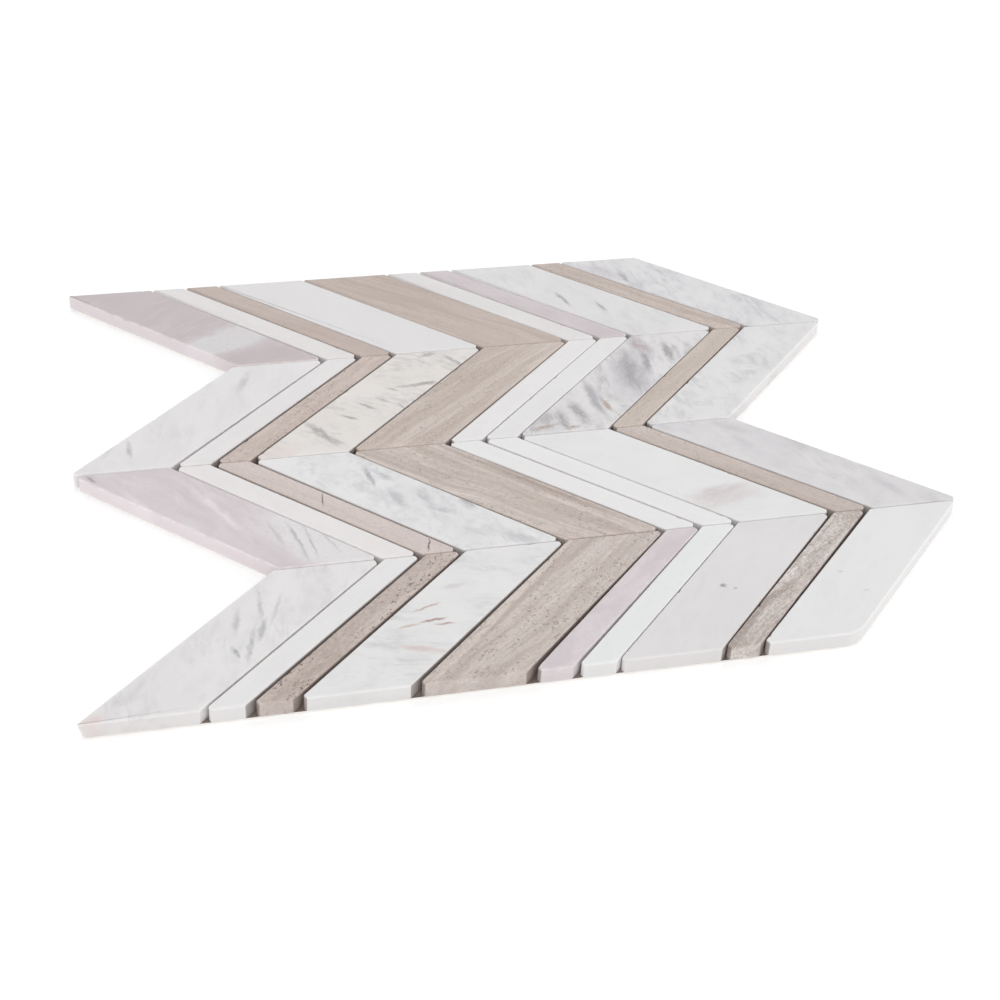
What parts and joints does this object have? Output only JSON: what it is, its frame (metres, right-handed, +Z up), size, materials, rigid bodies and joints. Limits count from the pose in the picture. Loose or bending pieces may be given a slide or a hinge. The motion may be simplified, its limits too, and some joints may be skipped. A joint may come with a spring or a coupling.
{
  "type": "marble chevron mosaic tile sheet",
  "caption": "Flat chevron mosaic sheet: slanted white and wood-grain marble strips laid point to point in rows on a net backing.",
  "frame": {"origin": "centre of the sheet's bounding box in plan, on the underside of the net backing", "axes": "+X across the strips of a row, the way the chevrons' right-hand tips point; +Y from the front row to the back row; +Z up out of the polished faces"},
  "size_m": [0.3712, 0.3044, 0.0076],
  "materials": {
    "veined_white_marble": "polished, grey and mauve veins",
    "pure_white_marble": "polished, fine crystalline white",
    "woodgrain_marble": "polished, straight grey-brown grain",
    "glass_fibre_net": "open glass-fibre net in dried adhesive"
  },
  "bodies": {
    "root": {"net_backing": "glass_fibre_net", "row1_a_veined": "veined_white_marble", "row1_b_white": "pure_white_marble", "row1_c_woodgrain": "woodgrain_marble", "row1_d_veined": "veined_white_marble", "row1_e_woodgrain": "woodgrain_marble", "row1_f_white": "pure_white_marble", "row1_g_white": "pure_white_marble", "row1_h_veined": "veined_white_marble", "row1_i_woodgrain": "woodgrain_marble", "row1_j_veined": "veined_white_marble", "row2_a_veined": "veined_white_marble", "row2_b_white": "pure_white_marble", "row2_c_woodgrain": "woodgrain_marble", "row2_d_veined": "veined_white_marble", "row2_e_woodgrain": "woodgrain_marble", "row2_f_white": "pure_white_marble", "row2_g_white": "pure_white_marble", "row2_h_veined": "veined_white_marble", "row2_i_woodgrain": "woodgrain_marble", "row2_j_veined": "veined_white_marble", "row3_a_veined": "veined_white_marble", "row3_b_white": "pure_white_marble", "row3_c_woodgrain": "woodgrain_marble", "row3_d_veined": "veined_white_marble", "row3_e_woodgrain": "woodgrain_marble", "row3_f_white": "pure_white_marble", "row3_g_white": "pure_white_marble", "row3_h_veined": "veined_white_marble", "row3_i_woodgrain": "woodgrain_marble", "row3_j_veined": "veined_white_marble", "row4_a_veined": "veined_white_marble", "row4_b_white": "pure_white_marble", "row4_c_woodgrain": "woodgrain_marble", "row4_d_veined": "veined_white_marble", "row4_e_woodgrain": "woodgrain_marble", "row4_f_white": "pure_white_marble", "row4_g_white": "pure_white_marble", "row4_h_veined": "veined_white_marble", "row4_i_woodgrain": "woodgrain_marble", "row4_j_veined": "veined_white_marble"}
  },
  "joints": []
}
